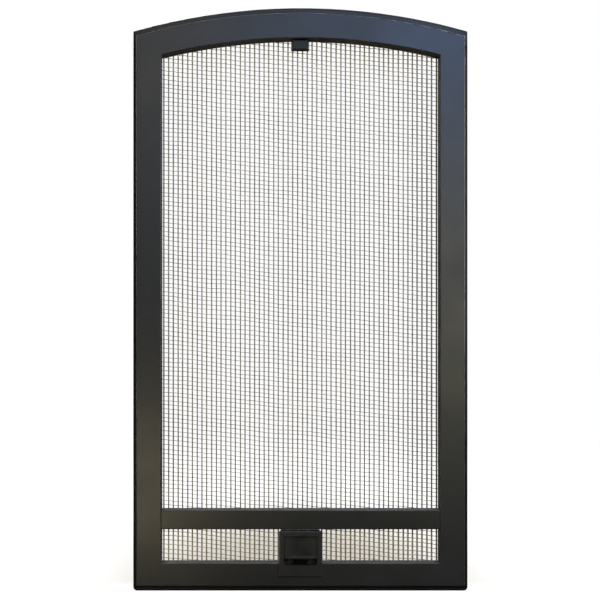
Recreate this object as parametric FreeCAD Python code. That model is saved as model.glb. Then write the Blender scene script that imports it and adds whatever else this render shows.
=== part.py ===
"""Arched spark screen that clips into a small stove or fire opening.

A cast, powder-coated frame holds one sheet of woven wire mesh. Sheet-steel strips clamp the mesh from
behind. A crossbar divides the opening, and under it a slide latch drives a steel bolt down through the
bottom edge. A small lug hangs from the middle of the arch.

Millimetres. +Z is up, +X is to the right and the front faces -Y. The origin is the middle of the
bottom edge, half way through the depth of the whole screen.
"""
import FreeCAD, Part
import math
import os

# ---- Outline of the frame ----
width = 220.0
side_height = 368.1  # bottom edge to the ends of the arch
arch_rise = 15.4  # ends of the arch to its crown
bottom_corner_radius = 2.5
shoulder_radius = 1.2  # the corners where the sides meet the arch

# ---- Front of the frame: a low outer lip, and a raised flat band round the opening ----
lip_side = 2.3
lip_top = 4.4
lip_bottom = 3.6
band_side = 16.4
band_top = 16.4
band_bottom = 15.3
lip_round = 1.6
band_round = 0.8
opening_round = 0.5
band_corner_radius = 1.2

# ---- Walls of the casting, which is open at the rear ----
band_thick = 2.0
lip_thick = 1.8
step_wall = 1.6
outer_wall = 2.0
inner_wall = 1.8
lip_set_back = 3.0  # front of the band to the front of the lip
seat_depth = 9.2  # front of the band to the seat that the mesh lies on
boss_radius = 3.0
side_screw_count = 4  # up each side
top_screw_count = 4
pilot_clearance = 0.05
pilot_spare = 0.6  # depth left in a pilot hole past the screw's end

# ---- Mesh and the strips that clamp it ----
mesh_thick = 1.3
mesh_margin = 11.0  # how far the sheet runs past the opening
mesh_hole_clearance = 0.25
strip_thick = 1.2
strip_reveal = 0.4  # strip's edge to the opening's edge
strip_past_screws = 4.7
strip_gap = 0.4  # between neighbouring strips
strip_hole_clearance = 0.2

# ---- Screws: one pan-head size for strips and bracket, and a low-head one inside the channel ----
screw_radius = 1.2
screw_head_radius = 2.4
screw_head = 1.2
screw_length = 6.0
low_head = 1.0
low_screw_length = 4.0
recess_width = 0.6
recess_span = 2.8
recess_depth = 0.5
head_round = 0.4
rim_clearance = 0.1  # screw heads to the plane of the rear rim

# ---- Crossbar: a channel with a tenon at each end ----
crossbar_above_latch = 0.75
crossbar_height = 12.7
crossbar_set_back = 0.3
crossbar_face = 1.8
crossbar_flange = 1.6
crossbar_round = 0.6
crossbar_end_gap = 0.2
crossbar_boss_radius = 2.6
crossbar_screw_x = 60.0
tenon_height = 7.0
tenon_thick = 1.6
tenon_clearance = 0.2
tenon_rear = 1.8  # rear of a tenon to the mesh seat
tenon_root = 10.0  # web inside the bar that a tenon grows from
tenon_past_screw = 3.4
strip_inset = 0.4  # crossbar's edge to its clamp strip's edge

# ---- Lug under the crown ----
lug_width = 10.2
lug_height = 5.7
lug_to_mesh = 1.2
lug_draft = 0.9
lug_round = 0.4
lug_gap = 1.1  # arch's inner edge to the lug
lug_set_back = 2.0
lug_neck_width = 7.0
lug_neck_thick = 2.0
lug_neck_clearance = 0.3
lug_foot_width = 10.0
lug_foot_past_screw = 3.2

# ---- Latch body: a plate with a window, and the walls of its case behind it ----
latch_width = 28.2
latch_height = 30.0
latch_lap = 8.7  # how far the plate laps over the bottom rail
latch_plate = 1.6  # the plate stands this much proud of the band
latch_round = 0.7
latch_corner_radius = 1.0
window_width = 21.7
window_height = 18.7
window_up = 7.8  # latch plate's lower edge to the window's
window_radius = 1.6
case_inset_side = 1.0  # latch plate's edge to the case's wall
case_inset_end = 1.2
case_wall = 1.1
case_cutout_clearance = 0.2
back_plate_thick = 1.4
back_plate_to_mesh = 0.3
post_radius = 2.3
post_from_wall = 2.2  # case wall's inner face to a post's axis
post_above_rail = 3.2
post_clearance = 0.4
latch_screw_radius = 1.15
latch_screw_length = 7.0

# ---- Latch bracket behind the mesh ----
bracket_screw_offset = 4.3  # case wall to the frame boss beside it
bracket_past_screw = 4.0
bracket_inset = 0.3

# ---- Slide and bolt ----
travel = 3.4
running_gap = 0.3
pad_set_back = 1.4
pad_lip_height = 1.8
pad_lip_set_back = 0.3
pad_lip_round = 0.5
pad_scoop = 0.5
wing_thick = 1.4
wing_overlap = 0.85
stem_width = 11.0
stem_depth = 1.0
tongue_width = 9.0
tongue_thick = 1.5
tongue_past_rivet = 2.5
tongue_tip = 0.4  # the bolt's end above the bottom edge while it is drawn
tongue_step_gap = 0.45  # the bolt's step to the case above it, and to the channel's floor once shot
tongue_bend = 0.5
tongue_chamfer = 0.5
tongue_to_mesh = 0.4
bolt_rivet_radius = 1.0
bolt_rivet_head_radius = 1.9
bolt_rivet_head_share = 0.276  # of the room behind the bolt
bolt_rivet_up = 5.8  # slide's lower edge to the lower rivet
bolt_rivet_pitch = 5.0
bolt_rivet_bite = 1.6

# ---- Detent spring inside the case ----
spring_thick = 0.4
spring_width = 6.0
spring_crest_up = 4.8  # case's floor to the spring's crest
spring_end_drop = 2.6
spring_end_share = 0.423  # how far the end turns back, of the way from the crest to the back plate
spring_slope_height = 11.6
spring_foot_height = 6.0
notch_depth = 0.5
notch_half_height = 0.7
spring_rivet_up = 3.2  # from the spring's bend
spring_rivet_radius = 0.9
spring_rivet_head_radius = 1.7
spring_rivet_head_share = 0.241  # of the room behind the bolt
rivet_round = 0.6  # edge rounding of a rivet head, of its height

# ---- Working values for cuts and for picking edges ----
overcut = 1.0  # how far a cutting solid runs past a face
near = 0.1  # how close to an outline counts as on it
same = 1e-6

# ---- Places worked out from the sizes ----
half_width = width / 2
arch_radius = (half_width**2 + arch_rise**2) / (2 * arch_rise)
arch_centre_z = side_height + arch_rise - arch_radius

depth = latch_plate + seat_depth + mesh_thick + strip_thick + screw_head + rim_clearance
latch_y = -depth / 2
band_y = latch_y + latch_plate
lip_y = band_y + lip_set_back
seat_y = band_y + seat_depth
clamp_y = seat_y + mesh_thick
head_y = clamp_y + strip_thick
rim_y = head_y + screw_head + rim_clearance
channel_y = band_y + band_thick

opening_side_in = lip_side + band_side
opening_top_in = lip_top + band_top
opening_z = lip_bottom + band_bottom
opening_half = half_width - opening_side_in
opening_radius = arch_radius - opening_top_in
opening_shoulder_z = arch_centre_z + math.sqrt(opening_radius**2 - opening_half**2)
opening_crown_z = arch_centre_z + opening_radius

# screws run along the middle of the channel, this far outside the opening's edge
side_screw_offset = inner_wall + (band_side - inner_wall - step_wall) / 2
top_screw_offset = inner_wall + (band_top - inner_wall - step_wall) / 2
bottom_screw_offset = inner_wall + (band_bottom - inner_wall - step_wall) / 2
side_screw_x = opening_half + side_screw_offset
bottom_screw_z = opening_z - bottom_screw_offset
top_screw_radius = opening_radius + top_screw_offset

strip_outset = side_screw_offset + strip_past_screws
strip_half = opening_half + strip_outset
strip_low_z = opening_z - strip_outset

latch_z = opening_z - latch_lap
latch_top = latch_z + latch_height
window_z = latch_z + window_up
window_top = window_z + window_height
case_half = latch_width / 2 - case_inset_side
case_z = lip_bottom + step_wall + travel + tongue_thick + 2 * tongue_step_gap
case_top = latch_top - case_inset_end
case_y = seat_y - back_plate_to_mesh - back_plate_thick
cavity_half = case_half - case_wall
cavity_z = case_z + case_wall
cavity_top = case_top - case_wall
bracket_screw_x = case_half + bracket_screw_offset
bracket_half = bracket_screw_x + bracket_past_screw
post_x = cavity_half - post_from_wall
post_low_z = opening_z + post_above_rail
post_high_z = cavity_top - post_radius

pad_z = window_z + travel + running_gap
pad_top = window_top - running_gap
pad_half = window_width / 2 - running_gap
pad_y = latch_y + pad_set_back
wing_y = band_y + running_gap
stem_y = wing_y + wing_thick
tongue_y = stem_y + stem_depth
tongue_rear_y = tongue_y + tongue_thick
tip_rear_y = seat_y - tongue_to_mesh
tip_y = tip_rear_y - tongue_thick
tongue_step_z = case_z - tongue_step_gap - tongue_thick
bolt_rivet_low_z = pad_z + bolt_rivet_up
bolt_rivet_high_z = bolt_rivet_low_z + bolt_rivet_pitch
tongue_top = bolt_rivet_high_z + tongue_past_rivet
room_behind_bolt = case_y - spring_thick - tongue_rear_y
bolt_rivet_head = bolt_rivet_head_share * room_behind_bolt

spring_crest_z = cavity_z + spring_crest_up
spring_end_z = spring_crest_z - spring_end_drop
spring_bend_z = spring_crest_z + spring_slope_height
spring_top = spring_bend_z + spring_foot_height
spring_rivet_z = spring_bend_z + spring_rivet_up
spring_rivet_head = spring_rivet_head_share * room_behind_bolt
spring_crest_y = tongue_rear_y + running_gap + spring_thick
spring_end_y = spring_crest_y + spring_end_share * (case_y - spring_crest_y)

crossbar_z = latch_top + crossbar_above_latch
crossbar_y = band_y + crossbar_set_back
crossbar_half = opening_half - crossbar_end_gap
tenon_z = crossbar_z + crossbar_height / 2
tenon_y = seat_y - tenon_rear - tenon_thick

lug_y = band_y + lug_set_back
lug_rear_y = seat_y - lug_to_mesh
lug_top = opening_crown_z - lug_gap
lug_screw_z = arch_centre_z + top_screw_radius
lug_neck_y = lug_rear_y - lug_neck_thick


def box(x0, x1, y0, y1, z0, z1):
    """A block between two corners."""
    return Part.makeBox(x1 - x0, y1 - y0, z1 - z0, FreeCAD.Vector(x0, y0, z0))


def rod(x, z, y0, y1, radius):
    """A round bar along Y."""
    return Part.makeCylinder(radius, y1 - y0, FreeCAD.Vector(x, y0, z), FreeCAD.Vector(0, 1, 0))


def joined(solids):
    """Several solids fused to one, with split faces merged."""
    whole = solids[0].multiFuse(solids[1:]) if len(solids) > 1 else solids[0]
    return whole.removeSplitter()


def arched_slab(side_in, top_in, bottom_z, y0, y1, corner_radius=0.0):
    """A slab with the frame's own outline, drawn in from its sides, arch and bottom edge."""
    half = half_width - side_in
    radius = arch_radius - top_in
    shoulder_z = arch_centre_z + math.sqrt(radius**2 - half**2)
    crown = FreeCAD.Vector(0, y0, arch_centre_z + radius)
    left_shoulder = FreeCAD.Vector(-half, y0, shoulder_z)
    right_shoulder = FreeCAD.Vector(half, y0, shoulder_z)
    side_z = bottom_z + corner_radius
    left_side = FreeCAD.Vector(-half, y0, side_z)
    right_side = FreeCAD.Vector(half, y0, side_z)
    left_foot = FreeCAD.Vector(-half + corner_radius, y0, bottom_z)
    right_foot = FreeCAD.Vector(half - corner_radius, y0, bottom_z)
    edges = [
        Part.makeLine(left_foot, right_foot),
        Part.makeLine(right_side, right_shoulder),
        Part.Arc(right_shoulder, crown, left_shoulder).toShape(),
        Part.makeLine(left_shoulder, left_side),
    ]
    if corner_radius > 0:
        sag = corner_radius * (1 - math.sqrt(0.5))
        right_middle = FreeCAD.Vector(half - sag, y0, bottom_z + sag)
        left_middle = FreeCAD.Vector(-half + sag, y0, bottom_z + sag)
        edges.insert(1, Part.Arc(right_foot, right_middle, right_side).toShape())
        edges.append(Part.Arc(left_side, left_middle, left_foot).toShape())
    return Part.Face(Part.Wire(edges)).extrude(FreeCAD.Vector(0, y1 - y0, 0))


def opening_slab(outset, y0, y1):
    """The opening's outline grown outwards by one distance all round."""
    return arched_slab(opening_side_in - outset, opening_top_in - outset, opening_z - outset, y0, y1)


def edges_at(shape, y, inside=None):
    """Edges that lie in the plane at depth y, and whose middles pass a test if one is given."""
    found = []
    for edge in shape.Edges:
        flat = all(abs(vertex.Y - y) < same for vertex in edge.Vertexes)
        middle = edge.valueAt((edge.FirstParameter + edge.LastParameter) / 2)
        if flat and abs(middle.y - y) < same and (inside is None or inside(middle)):
            found.append(edge)
    return found


def edges_along_y(shape, inside):
    """Straight edges that run front to back, and whose middles pass a test."""
    found = []
    for edge in shape.Edges:
        ends = [vertex.Point for vertex in edge.Vertexes]
        if len(ends) < 2:
            continue
        run = ends[1] - ends[0]
        if abs(run.x) < same and abs(run.z) < same and inside(ends[0]):
            found.append(edge)
    return found


def side_screws():
    """Screw places (x, z) up the left and right sides."""
    low = opening_z + side_screw_offset
    high = opening_shoulder_z - side_screw_offset
    places = []
    for side in (-1, 1):
        for step in range(side_screw_count):
            z = low + (high - low) * step / (side_screw_count - 1)
            places.append((side * side_screw_x, z))
    return places


def top_screws():
    """Screw places (x, z) along the arch, clear of the lug at its crown."""
    widest = math.asin(opening_half / top_screw_radius)
    places = []
    for step in range(top_screw_count):
        angle = widest * (2 * step / (top_screw_count - 1) - 1)
        x = top_screw_radius * math.sin(angle)
        places.append((x, arch_centre_z + top_screw_radius * math.cos(angle)))
    return places


def bottom_screws():
    """Screw places (x, z) along the bottom rail, clear of the latch bracket."""
    near = bracket_half + side_screw_offset
    return [(side * x, bottom_screw_z) for side in (-1, 1) for x in (near, opening_half)]


def bracket_screws():
    """The two places where the latch bracket is screwed to the frame."""
    return [(side * bracket_screw_x, bottom_screw_z) for side in (-1, 1)]


def post_places():
    """The four posts in the latch case."""
    return [(side * post_x, z) for side in (-1, 1) for z in (post_low_z, post_high_z)]


def tenon_screws():
    """The two places where the crossbar's tenons are screwed into the frame's channel."""
    return [(side * side_screw_x, tenon_z) for side in (-1, 1)]


def crossbar_screws():
    """Screw places (x, z) along the crossbar's clamp strip."""
    return [(x, tenon_z) for x in (-crossbar_screw_x, 0, crossbar_screw_x)]


def pan_screw(x, z, seat, head, radius, length):
    """A pan-head screw driven from the rear, with a cross recess, its head seated at depth seat."""
    head_top = seat + head
    cap = rod(x, z, seat, head_top, screw_head_radius)
    cap = cap.makeFillet(head_round, edges_at(cap, head_top))
    shank = rod(x, z, seat - length, seat, radius)
    floor_y = head_top - recess_depth
    long_half = recess_span / 2
    short_half = recess_width / 2
    above = head_top + overcut
    slot = box(x - long_half, x + long_half, floor_y, above, z - short_half, z + short_half)
    cross = box(x - short_half, x + short_half, floor_y, above, z - long_half, z + long_half)
    return joined([cap, shank]).cut(slot.fuse(cross))


def screw_group(places, seat, head, radius, length):
    """Like screws as separate solids."""
    return Part.makeCompound([pan_screw(x, z, seat, head, radius, length) for x, z in places])


def drilled(solid, places, y0, y1, radius):
    """A solid with a round hole through it at each place."""
    return solid.cut(Part.makeCompound([rod(x, z, y0, y1, radius) for x, z in places]))


def make_front_frame():
    """The cast frame: lip, raised band, inner wall with the mesh seat, and screw bosses."""
    outer = arched_slab(0, 0, 0, lip_y, rim_y, bottom_corner_radius)
    shoulders = edges_along_y(outer, lambda p: p.z > side_height - near)
    outer = outer.makeFillet(shoulder_radius, shoulders)
    outer = outer.makeFillet(lip_round, edges_at(outer, lip_y))
    band = arched_slab(lip_side, lip_top, lip_bottom, band_y, rim_y, band_corner_radius)
    band = band.makeFillet(band_round, edges_at(band, band_y))
    casting = joined([outer, band]).cut(opening_slab(0, band_y - overcut, rim_y + overcut))

    def at_opening(point):
        inside_sides = abs(point.x) < opening_half + near
        above_sill = point.z > opening_z - near
        below_arch = math.hypot(point.x, point.z - arch_centre_z) < opening_radius + near
        return inside_sides and above_sill and below_arch

    casting = casting.makeFillet(opening_round, edges_at(casting, band_y, at_opening))

    rear_pocket = arched_slab(outer_wall, outer_wall, outer_wall, lip_y + lip_thick, rim_y + overcut)
    front_pocket = arched_slab(
        lip_side + step_wall, lip_top + step_wall, lip_bottom + step_wall, channel_y, rim_y
    )
    seat_ring = opening_slab(inner_wall, band_y, seat_y)
    casting = casting.cut(rear_pocket.fuse(front_pocket).cut(seat_ring))

    seat_bosses = side_screws() + top_screws() + bottom_screws() + bracket_screws()
    tenon_bosses = tenon_screws()
    root_y = band_y + band_thick / 2
    bosses = [rod(x, z, root_y, seat_y, boss_radius) for x, z in seat_bosses]
    bosses += [rod(x, z, root_y, tenon_y, boss_radius) for x, z in tenon_bosses]
    bosses.append(rod(0, lug_screw_z, root_y, lug_neck_y, boss_radius))
    casting = joined([casting] + bosses)

    pilot = screw_radius + pilot_clearance
    reach = head_y - screw_length - pilot_spare
    past_seat = seat_y + overcut
    holes = [rod(x, z, reach, past_seat, pilot) for x, z in seat_bosses]
    low_reach = tenon_y + tenon_thick - low_screw_length - pilot_spare
    holes += [rod(x, z, low_reach, seat_y, pilot) for x, z in tenon_bosses]
    lug_reach = lug_rear_y - low_screw_length - pilot_spare
    holes.append(rod(0, lug_screw_z, lug_reach, seat_y, pilot))

    notch_half = tenon_height / 2 + tenon_clearance
    inside = opening_half - overcut
    outside = opening_half + inner_wall + overcut
    notch_y = (tenon_y - tenon_clearance, past_seat)
    notch_z = (tenon_z - notch_half, tenon_z + notch_half)
    holes.append(box(inside, outside, *notch_y, *notch_z))
    holes.append(box(-outside, -inside, *notch_y, *notch_z))

    neck_half = lug_neck_width / 2 + lug_neck_clearance
    neck_y = (lug_neck_y - lug_neck_clearance, past_seat)
    neck_z = (opening_crown_z - overcut, opening_crown_z + inner_wall + overcut)
    holes.append(box(-neck_half, neck_half, *neck_y, *neck_z))

    cutout = case_half + case_cutout_clearance
    cutout_z = (case_z - case_cutout_clearance, opening_z + overcut)
    holes.append(box(-cutout, cutout, band_y - overcut, past_seat, *cutout_z))

    slot_half = tongue_width / 2 + running_gap
    slot_y = (tip_y - running_gap, tip_rear_y + running_gap)
    holes.append(box(-slot_half, slot_half, *slot_y, -overcut, lip_bottom + step_wall + overcut))
    return casting.cut(Part.makeCompound(holes))


def make_wire_mesh():
    """The mesh sheet, as thick as its two crossing wires, with holes where screws pass."""
    sheet = opening_slab(mesh_margin, seat_y, clamp_y)
    places = side_screws() + top_screws() + bottom_screws() + bracket_screws()
    places += crossbar_screws() + post_places()
    hole = screw_radius + mesh_hole_clearance
    return drilled(sheet, places, seat_y - overcut, clamp_y + overcut, hole)


def strip_ring():
    """The flat ring that the clamp strips are cut from."""
    ring = opening_slab(strip_outset, clamp_y, head_y)
    ring = ring.cut(opening_slab(strip_reveal, clamp_y - overcut, head_y + overcut))
    places = side_screws() + top_screws() + bottom_screws()
    hole = screw_radius + strip_hole_clearance
    return drilled(ring, places, clamp_y - overcut, head_y + overcut, hole)


def strip_part(x0, x1, z0, z1):
    """The part of the ring inside a rectangle, short of its neighbours by half a gap."""
    trim = strip_gap / 2
    return strip_ring().common(box(x0 + trim, x1 - trim, clamp_y, head_y, z0 + trim, z1 - trim))


def make_crossbar():
    """The crossbar: a channel open at the rear, bosses inside it, and a tenon at each end."""
    top_z = crossbar_z + crossbar_height
    bar = box(-crossbar_half, crossbar_half, crossbar_y, seat_y, crossbar_z, top_z)
    front = [e for e in edges_at(bar, crossbar_y) if e.Length > crossbar_half]
    bar = bar.makeFillet(crossbar_round, front)
    hollow_z = (crossbar_z + crossbar_flange, top_z - crossbar_flange)
    hollow_half = crossbar_half + overcut
    past_seat = seat_y + overcut
    bar = bar.cut(box(-hollow_half, hollow_half, crossbar_y + crossbar_face, past_seat, *hollow_z))
    solids = [bar]
    root_y = crossbar_y + crossbar_face / 2
    for x, z in crossbar_screws():
        solids.append(rod(x, z, root_y, seat_y, crossbar_boss_radius))
    tenon_y_span = (tenon_y, tenon_y + tenon_thick)
    tenon_z_span = (tenon_z - tenon_height / 2, tenon_z + tenon_height / 2)
    root = crossbar_half - tenon_root
    reach = side_screw_x + tenon_past_screw
    for low, high, web_low, web_high in (
        (-reach, -root, -crossbar_half, -root),
        (root, reach, root, crossbar_half),
    ):
        solids.append(box(web_low, web_high, *tenon_y_span, *hollow_z))
        solids.append(box(low, high, *tenon_y_span, *tenon_z_span))
    whole = joined(solids)
    hole = screw_radius + strip_hole_clearance
    whole = drilled(whole, tenon_screws(), tenon_y - overcut, past_seat, hole)
    pilot_y = head_y - screw_length - pilot_spare
    return drilled(whole, crossbar_screws(), pilot_y, past_seat, screw_radius + pilot_clearance)


def make_crossbar_strip():
    """The strip behind the mesh that clamps it to the crossbar."""
    half = opening_half + strip_reveal - strip_gap
    low = crossbar_z + strip_inset
    high = crossbar_z + crossbar_height - strip_inset
    strip = box(-half, half, clamp_y, head_y, low, high)
    hole = screw_radius + strip_hole_clearance
    return drilled(strip, crossbar_screws(), clamp_y - overcut, head_y + overcut, hole)


def make_locating_lug():
    """The lug under the crown: a drafted block, a neck through the inner wall, and a screwed foot."""
    front_half = lug_width / 2
    rear_half = front_half + lug_draft
    bottom = lug_top - lug_height
    corners = [
        FreeCAD.Vector(-front_half, lug_y, bottom),
        FreeCAD.Vector(front_half, lug_y, bottom),
        FreeCAD.Vector(rear_half, lug_rear_y, bottom),
        FreeCAD.Vector(-rear_half, lug_rear_y, bottom),
    ]
    outline = Part.makePolygon(corners + corners[:1])
    block = Part.Face(outline).extrude(FreeCAD.Vector(0, 0, lug_height))
    block = block.makeFillet(lug_round, edges_at(block, lug_y))
    neck_half = lug_neck_width / 2
    foot_half = lug_foot_width / 2
    foot_z = opening_crown_z + inner_wall + lug_neck_clearance
    foot_top = lug_screw_z + lug_foot_past_screw
    neck = box(-neck_half, neck_half, lug_neck_y, lug_rear_y, lug_top - overcut, foot_z + overcut)
    foot = box(-foot_half, foot_half, lug_neck_y, lug_rear_y, foot_z, foot_top)
    whole = joined([block, neck, foot])
    hole = screw_radius + strip_hole_clearance
    return drilled(whole, [(0, lug_screw_z)], lug_neck_y - overcut, lug_rear_y + overcut, hole)


def make_latch_body():
    """The latch's front: a plate with a window, the case's walls and four screw posts."""
    half = latch_width / 2
    plate = box(-half, half, latch_y, band_y, latch_z, latch_top)
    plate = plate.makeFillet(latch_corner_radius, edges_along_y(plate, lambda p: True))
    plate = plate.makeFillet(latch_round, edges_at(plate, latch_y))
    case = box(-case_half, case_half, band_y, case_y, case_z, case_top)
    case = case.cut(box(-cavity_half, cavity_half, band_y, case_y + overcut, cavity_z, cavity_top))
    window_half = window_width / 2
    window_y = (latch_y - overcut, band_y + overcut)
    window = box(-window_half, window_half, *window_y, window_z, window_top)
    window = window.makeFillet(window_radius, edges_along_y(window, lambda p: p.z < window_z + near))
    body = joined([plate, case]).cut(window)

    post_y = stem_y + post_clearance
    posts = []
    for x, z in post_places():
        wall_x = math.copysign(cavity_half, x)
        web = post_radius / 2
        posts.append(rod(x, z, post_y, case_y, post_radius))
        posts.append(box(min(x, wall_x), max(x, wall_x), post_y, case_y, z - web, z + web))
    body = joined([body] + posts)

    slot_half = tongue_width / 2 + running_gap
    slot_y = (tongue_y - running_gap, tongue_rear_y + running_gap)
    body = body.cut(box(-slot_half, slot_half, *slot_y, case_z - overcut, cavity_z + overcut))
    pilot_y = head_y - latch_screw_length - pilot_spare
    return drilled(body, post_places(), pilot_y, case_y + overcut, latch_screw_radius + pilot_clearance)


def make_latch_back_plate():
    """The plate that closes the case and carries the detent spring."""
    plate = box(-case_half, case_half, case_y, case_y + back_plate_thick, case_z, case_top)
    hole = latch_screw_radius + strip_hole_clearance
    plate = drilled(plate, post_places(), case_y - overcut, seat_y, hole)
    return drilled(plate, [(0, spring_rivet_z)], case_y - overcut, seat_y, spring_rivet_radius)


def make_latch_bracket():
    """The steel bracket behind the mesh: its foot is screwed to the frame, its tongue to the latch."""
    foot_top = opening_z - strip_reveal
    narrow = case_half - bracket_inset
    foot = box(-bracket_half, bracket_half, clamp_y, head_y, strip_low_z, foot_top)
    upright = box(-narrow, narrow, clamp_y, head_y, strip_low_z, case_top)
    whole = joined([foot, upright])
    hole = screw_radius + strip_hole_clearance
    return drilled(whole, bracket_screws() + post_places(), clamp_y - overcut, head_y + overcut, hole)


def make_thumb_slide():
    """The slide: a scooped pad with a raised lip at its lower edge, on wings that run in the case."""
    wing_half = window_width / 2 + wing_overlap
    wing_top = cavity_top - running_gap
    wings = box(-wing_half, wing_half, wing_y, stem_y, pad_z, wing_top)
    pad = box(-pad_half, pad_half, pad_y, wing_y, pad_z, pad_top)
    lip_front = latch_y + pad_lip_set_back
    lip = box(-pad_half, pad_half, lip_front, wing_y, pad_z, pad_z + pad_lip_height)
    front = joined([pad, lip])
    front = front.makeFillet(window_radius, edges_along_y(front, lambda p: p.z < pad_z + near))
    front = front.makeFillet(pad_lip_round, edges_at(front, lip_front))
    scoop_radius = (pad_half**2 + pad_scoop**2) / (2 * pad_scoop)
    scoop = Part.makeCylinder(
        scoop_radius,
        pad_top - pad_z - pad_lip_height,
        FreeCAD.Vector(0, pad_y - scoop_radius + pad_scoop, pad_z + pad_lip_height),
    )
    stem_top = bolt_rivet_high_z + bolt_rivet_head_radius
    stem = box(-stem_width / 2, stem_width / 2, stem_y, tongue_y, pad_z, stem_top)
    slide = joined([wings, front, stem]).cut(scoop)
    places = [(0, bolt_rivet_low_z), (0, bolt_rivet_high_z)]
    return drilled(slide, places, tongue_y - bolt_rivet_bite, tongue_y + overcut, bolt_rivet_radius)


def make_bolt_tongue():
    """The steel bolt: a strip that steps back below the case and ends in a tapered tip."""
    step_top = tongue_step_z + tongue_thick
    points = [
        (tongue_y, tongue_top),
        (tongue_y, tongue_step_z),
        (tip_y, tongue_step_z),
        (tip_y, tongue_tip),
        (tip_rear_y, tongue_tip),
        (tip_rear_y, step_top),
        (tongue_rear_y, step_top),
        (tongue_rear_y, tongue_top),
    ]
    half = tongue_width / 2
    corners = [FreeCAD.Vector(-half, y, z) for y, z in points]
    strip = Part.Face(Part.makePolygon(corners + corners[:1])).extrude(FreeCAD.Vector(tongue_width, 0, 0))

    def across(edge, y, z):
        a, b = (vertex.Point for vertex in edge.Vertexes)
        starts_there = abs(a.y - y) < same and abs(a.z - z) < same
        return starts_there and abs(a.y - b.y) < same and abs(a.z - b.z) < same

    inner = [(tip_y, tongue_step_z), (tongue_rear_y, step_top)]
    outer = [(tongue_y, tongue_step_z), (tip_rear_y, step_top)]
    for bends, radius in ((inner, tongue_bend), (outer, tongue_bend + tongue_thick / 2)):
        edges = [e for e in strip.Edges for y, z in bends if across(e, y, z)]
        strip = strip.makeFillet(radius, edges)
    tip_edges = [e for e in strip.Edges for y in (tip_y, tip_rear_y) if across(e, y, tongue_tip)]
    strip = strip.makeChamfer(tongue_chamfer, tip_edges)
    notches = []
    for crest_z in (spring_crest_z, spring_crest_z + travel):
        groove = [
            FreeCAD.Vector(-half - overcut, tongue_rear_y, crest_z - notch_half_height),
            FreeCAD.Vector(-half - overcut, tongue_rear_y - notch_depth, crest_z),
            FreeCAD.Vector(-half - overcut, tongue_rear_y, crest_z + notch_half_height),
        ]
        face = Part.Face(Part.makePolygon(groove + groove[:1]))
        notches.append(face.extrude(FreeCAD.Vector(tongue_width + 2 * overcut, 0, 0)))
    strip = strip.cut(Part.makeCompound(notches))
    places = [(0, bolt_rivet_low_z), (0, bolt_rivet_high_z)]
    return drilled(strip, places, tongue_y - overcut, tongue_rear_y + overcut, bolt_rivet_radius)


def rivet(x, z, y0, y1, radius, head_radius, head):
    """A rivet along Y with its head at the rear end y1, or in front of y0 if head is negative."""
    shank = rod(x, z, y0, y1, radius)
    seat = y1 if head > 0 else y0
    outer_y = seat + head
    cap = rod(x, z, min(seat, outer_y), max(seat, outer_y), head_radius)
    cap = cap.makeFillet(abs(head) * rivet_round, edges_at(cap, outer_y))
    return joined([shank, cap])


def make_bolt_rivets():
    """Two rivets that fix the bolt to the slide."""
    front = tongue_y - bolt_rivet_bite
    sizes = (bolt_rivet_radius, bolt_rivet_head_radius, bolt_rivet_head)
    places = (bolt_rivet_low_z, bolt_rivet_high_z)
    return Part.makeCompound([rivet(0, z, front, tongue_rear_y, *sizes) for z in places])


def make_detent_spring():
    """The leaf spring that holds the bolt drawn or shot: fixed at its top, with a crest near its foot."""
    line = [
        (case_y, spring_top),
        (case_y, spring_bend_z),
        (spring_crest_y, spring_crest_z),
        (spring_end_y, spring_end_z),
    ]
    front = [FreeCAD.Vector(-spring_width / 2, y - spring_thick, z) for y, z in line]
    rear = [FreeCAD.Vector(-spring_width / 2, y, z) for y, z in reversed(line)]
    outline = Part.makePolygon(front + rear + front[:1])
    leaf = Part.Face(outline).extrude(FreeCAD.Vector(spring_width, 0, 0))
    return drilled(leaf, [(0, spring_rivet_z)], case_y - overcut, case_y + overcut, spring_rivet_radius)


def make_detent_rivet():
    """The rivet that fixes the leaf spring to the back plate."""
    sizes = (spring_rivet_radius, spring_rivet_head_radius, -spring_rivet_head)
    return rivet(0, spring_rivet_z, case_y - spring_thick, case_y + back_plate_thick, *sizes)


strip_screw = (head_y, screw_head, screw_radius, screw_length)
low_screw = (low_head, screw_radius, low_screw_length)
beyond = strip_half + overcut
bottom_span = (strip_low_z - overcut, opening_z)
side_span = (opening_z, opening_shoulder_z)
top_span = (opening_shoulder_z, opening_crown_z + strip_outset + overcut)

sub_parts = {
    "front_frame": make_front_frame(),
    "wire_mesh": make_wire_mesh(),
    "retainer_top": strip_part(-beyond, beyond, *top_span),
    "retainer_left": strip_part(-beyond, 0, *side_span),
    "retainer_right": strip_part(0, beyond, *side_span),
    "retainer_bottom_left": strip_part(-beyond, -bracket_half, *bottom_span),
    "retainer_bottom_right": strip_part(bracket_half, beyond, *bottom_span),
    "retainer_screws": screw_group(side_screws() + top_screws() + bottom_screws(), *strip_screw),
    "crossbar": make_crossbar(),
    "crossbar_screws": screw_group(tenon_screws(), tenon_y + tenon_thick, *low_screw),
    "crossbar_strip": make_crossbar_strip(),
    "crossbar_strip_screws": screw_group(crossbar_screws(), *strip_screw),
    "locating_lug": make_locating_lug(),
    "lug_screw": screw_group([(0, lug_screw_z)], lug_rear_y, *low_screw),
    "latch_body": make_latch_body(),
    "latch_back_plate": make_latch_back_plate(),
    "latch_bracket": make_latch_bracket(),
    "latch_screws": screw_group(
        post_places(), head_y, screw_head, latch_screw_radius, latch_screw_length
    ),
    "bracket_screws": screw_group(bracket_screws(), *strip_screw),
    "detent_spring": make_detent_spring(),
    "detent_rivet": make_detent_rivet(),
    "thumb_slide": make_thumb_slide(),
    "bolt_tongue": make_bolt_tongue(),
    "bolt_rivets": make_bolt_rivets(),
}

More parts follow.
